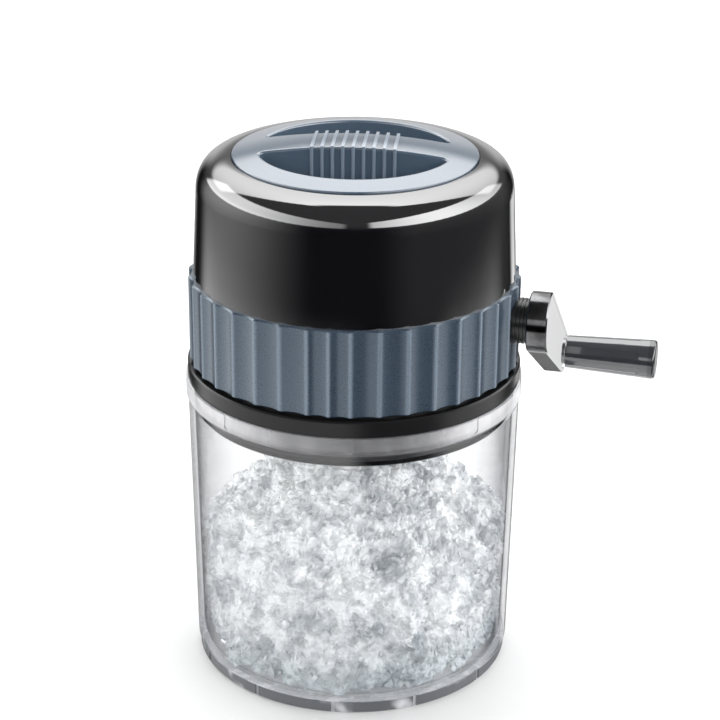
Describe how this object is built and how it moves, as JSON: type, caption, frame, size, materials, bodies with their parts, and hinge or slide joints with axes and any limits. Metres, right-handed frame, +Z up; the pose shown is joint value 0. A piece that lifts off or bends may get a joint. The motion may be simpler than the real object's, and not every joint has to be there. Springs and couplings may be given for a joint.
{
  "type": "hand ice crusher",
  "caption": "Hand-cranked ice crusher: clear round container under a black head with a fluted grey-blue grip ring, lift-off lid and side crank.",
  "frame": {"origin": "centre of the foot ring, on the surface that the container stands on", "axes": "+Z up, +X along the crank shaft towards the handle, +Y towards the back"},
  "size_m": [0.1892, 0.1386, 0.2242],
  "materials": {
    "clear_plastic": "clear moulded plastic",
    "foot_rubber": "translucent grey non-slip ring",
    "ice": "wet crushed ice",
    "black_satin": "satin moulded black",
    "seal_rubber": "soft black seal",
    "blue_grey_satin": "satin moulded grey-blue",
    "black_gloss": "polished moulded black",
    "inner_grey": "plain moulded grey",
    "inner_black": "plain moulded black",
    "screw_steel": "zinc plated",
    "white_acetal": "turned acetal",
    "bush_black": "turned black",
    "spring_steel": "spring steel",
    "arm_chrome": "polished",
    "axle_steel": "ground steel",
    "smoke_plastic": "polished smoke grey",
    "cap_black": "polished black",
    "blue_grey_gloss": "semi-gloss moulded grey-blue",
    "liner_grey": "plain moulded light grey",
    "blade_steel": "stamped stainless steel"
  },
  "bodies": {
    "base": {"container": "clear_plastic", "foot_ring": "foot_rubber", "crushed_ice": "ice"},
    "head": {"collar": "black_satin", "container_seal": "seal_rubber", "grip_ring": "blue_grey_satin", "housing": "black_gloss", "hopper": "inner_grey", "crusher_frame": "inner_black", "comb_coarse": "blade_steel", "comb_fine": "blade_steel", "comb_screws": "screw_steel", "frame_screws": "screw_steel", "housing_screws": "screw_steel", "inner_bush": "white_acetal", "crank_bush": "bush_black"},
    "crank": {"drive_shaft": "blade_steel", "rotor_spacers": "blade_steel", "shaft_washers": "white_acetal", "shaft_clip": "spring_steel", "crank_arm": "arm_chrome", "arm_screw": "spring_steel", "handle_axle": "axle_steel", "handle_washer": "axle_steel", "axle_clip": "spring_steel", "rotor_disc_1": "blade_steel", "rotor_disc_2": "blade_steel", "rotor_disc_3": "blade_steel", "rotor_disc_4": "blade_steel", "rotor_disc_5": "blade_steel", "rotor_disc_6": "blade_steel"},
    "knob": {"handle_grip": "smoke_plastic", "handle_cap": "cap_black"},
    "lid": {"lid_cover": "blue_grey_gloss", "lid_liner": "liner_grey", "lid_seal": "seal_rubber"}
  },
  "joints": [
    {"name": "head_lift", "type": "slide", "parent": "base", "child": "head", "axis": [0, 0, 1], "range_m": [0, 0.08]},
    {"name": "lid_lift", "type": "slide", "parent": "head", "child": "lid", "axis": [0, 0, 1], "range_m": [0, 0.06]},
    {"name": "crank_turn", "type": "hinge", "parent": "head", "child": "crank", "pos_m": [0, 0, 0.1532], "axis": [1, 0, 0], "continuous": true},
    {"name": "knob_spin", "type": "hinge", "parent": "crank", "child": "knob", "pos_m": [0.1, 0.05032, 0.12052], "axis": [1, 0, 0], "continuous": true}
  ]
}
